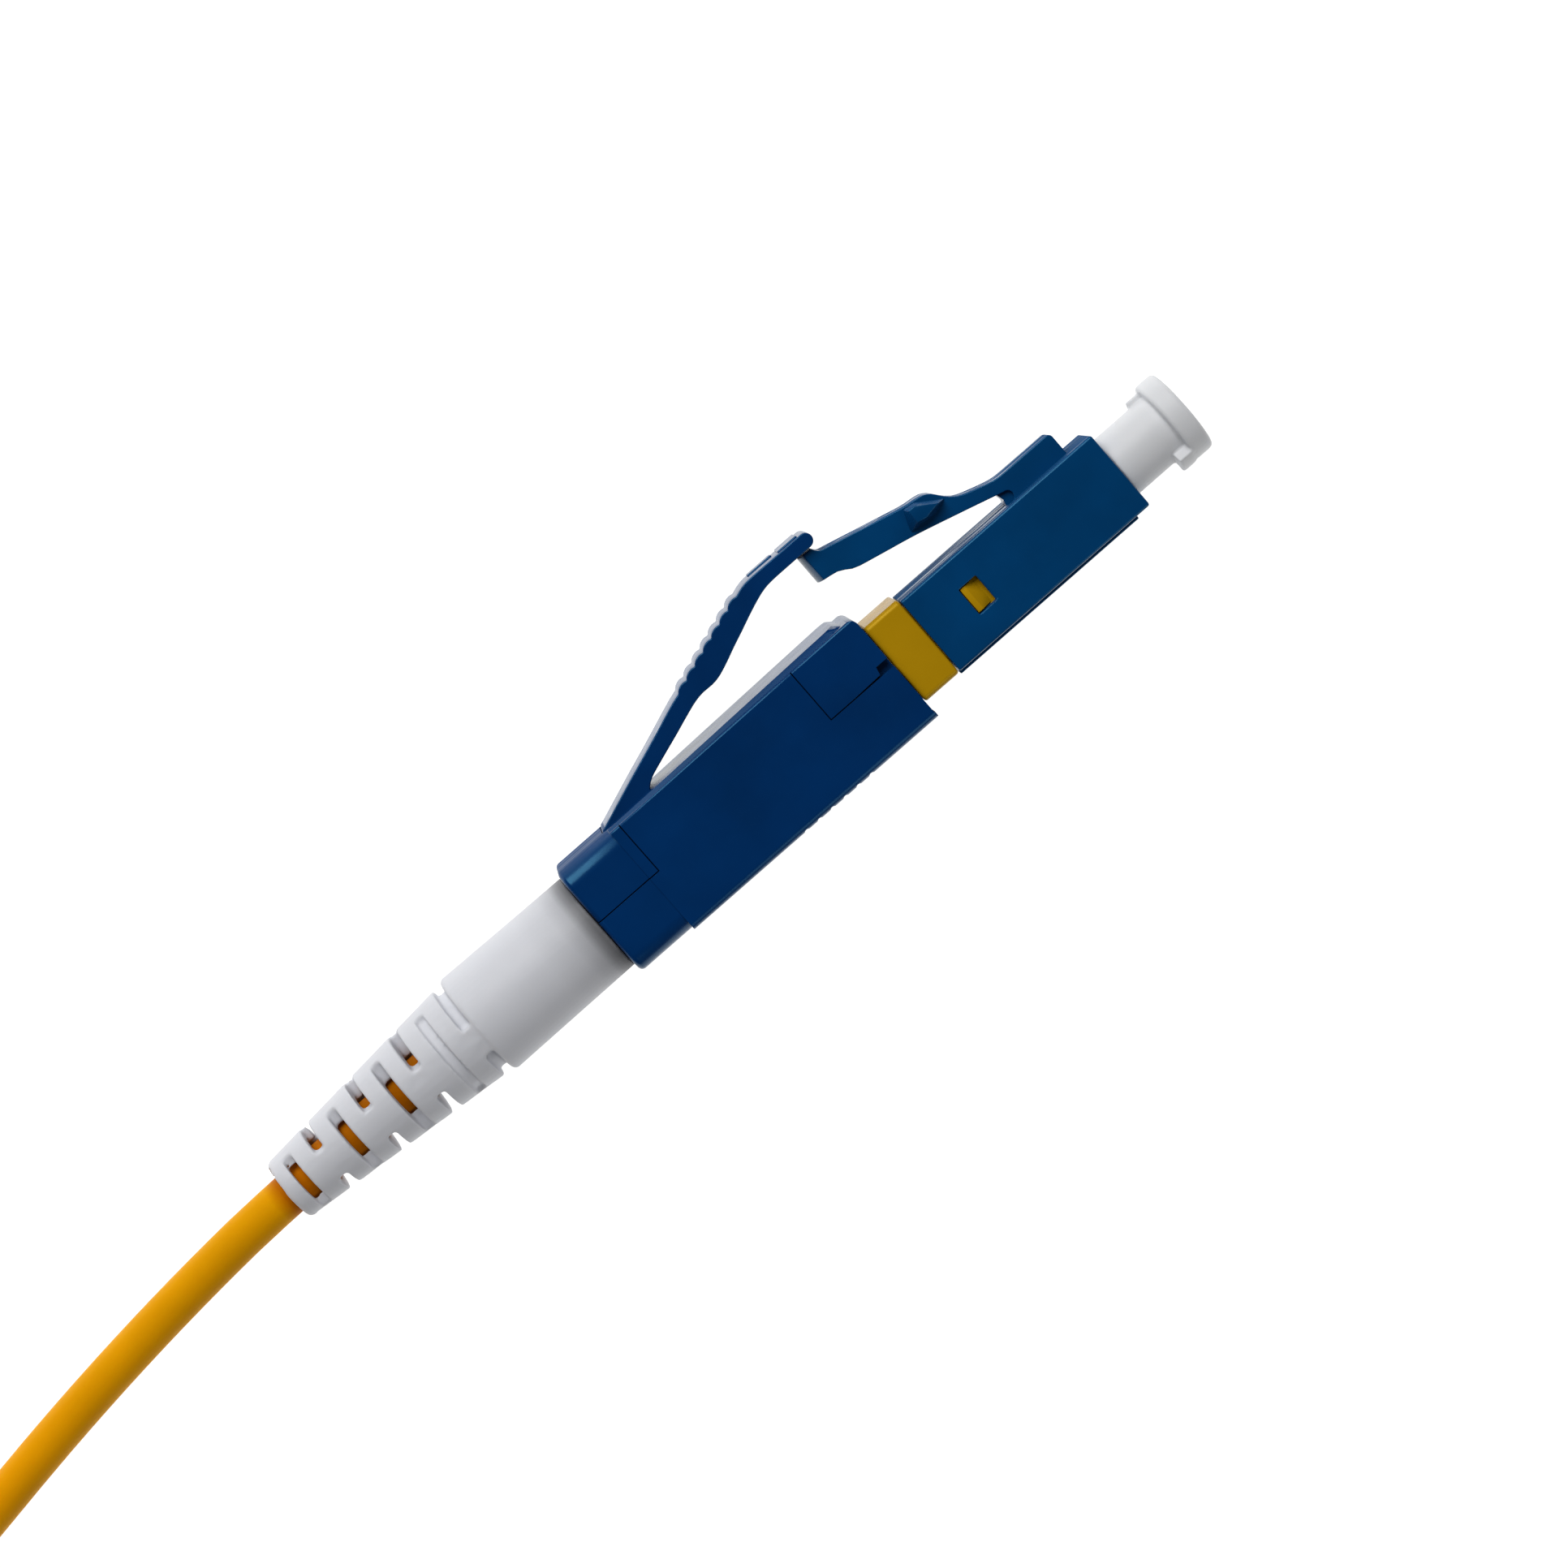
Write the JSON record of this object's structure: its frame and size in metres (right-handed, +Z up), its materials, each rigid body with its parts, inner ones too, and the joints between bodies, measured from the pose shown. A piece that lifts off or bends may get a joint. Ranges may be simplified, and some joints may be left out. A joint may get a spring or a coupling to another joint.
{
  "type": "lc fibre connector",
  "caption": "LC fibre-optic connector with a latch, trigger clip, slotted boot, dust cap and a coiled jacketed tail.",
  "frame": {"origin": "middle of the front housing's mating face, on the ferrule's axis", "axes": "+X along the ferrule axis towards the mating end, +Y to the latch side, +Z up; the connector lies on the flank of its rear housing at z = -2.95 mm"},
  "size_m": [0.1394, 0.0207, 0.0122],
  "materials": {
    "housing_blue": "satin moulded blue",
    "collar_amber": "glossy amber yellow",
    "zirconia": "polished ceramic",
    "flange_metal": "nickel plated",
    "spring_steel": "bright wire",
    "glass_fibre": "clear",
    "buffer_white": "satin",
    "crimp_metal": "nickel plated",
    "aramid_yellow": "yarn",
    "boot_white": "matte soft plastic",
    "cap_white": "satin",
    "jacket_yellow": "satin cable jacket",
    "strap_natural": "satin"
  },
  "bodies": {
    "connector": {"front_housing": "housing_blue", "inner_body": "collar_amber", "spring": "spring_steel", "rear_housing": "housing_blue", "trigger_clip": "housing_blue", "crimp_sleeve": "crimp_metal", "aramid_yarn": "aramid_yellow", "boot": "boot_white", "cable": "jacket_yellow", "cord_hank": "jacket_yellow", "hank_strap_near": "strap_natural", "hank_strap_far": "strap_natural"},
    "latch": {"latch_arm": "housing_blue"},
    "trigger": {"trigger_lever": "housing_blue"},
    "ferrule_unit": {"ferrule": "zirconia", "ferrule_flange": "flange_metal", "fibre": "glass_fibre", "buffer_tube": "buffer_white"},
    "cap": {"dust_cap": "cap_white"}
  },
  "joints": [
    {"name": "trigger_press", "type": "hinge", "parent": "connector", "child": "trigger", "pos_m": [-0.0273, 0.00441, 0], "axis": [0, 0, -1], "range_deg": [0, 6.5], "stiffness_Nm_per_rad": 0.1},
    {"name": "latch_flex", "type": "hinge", "parent": "connector", "child": "latch", "pos_m": [-0.0059, 0.00346, 0], "axis": [0, 0, 1], "range_deg": [0, 10.2], "stiffness_Nm_per_rad": 0.004},
    {"name": "ferrule_float", "type": "slide", "parent": "connector", "child": "ferrule_unit", "axis": [-1, 0, 0], "range_m": [0, 0.001], "stiffness_N_per_m": 1500, "deforming": ["spring"]},
    {"name": "dust_cap_pull", "type": "slide", "parent": "connector", "child": "cap", "axis": [1, 0, 0], "range_m": [0, 0.008]}
  ],
  "couplings": [
    {"joint": "latch_flex", "follows": "trigger_press", "ratio": 1.42}
  ]
}
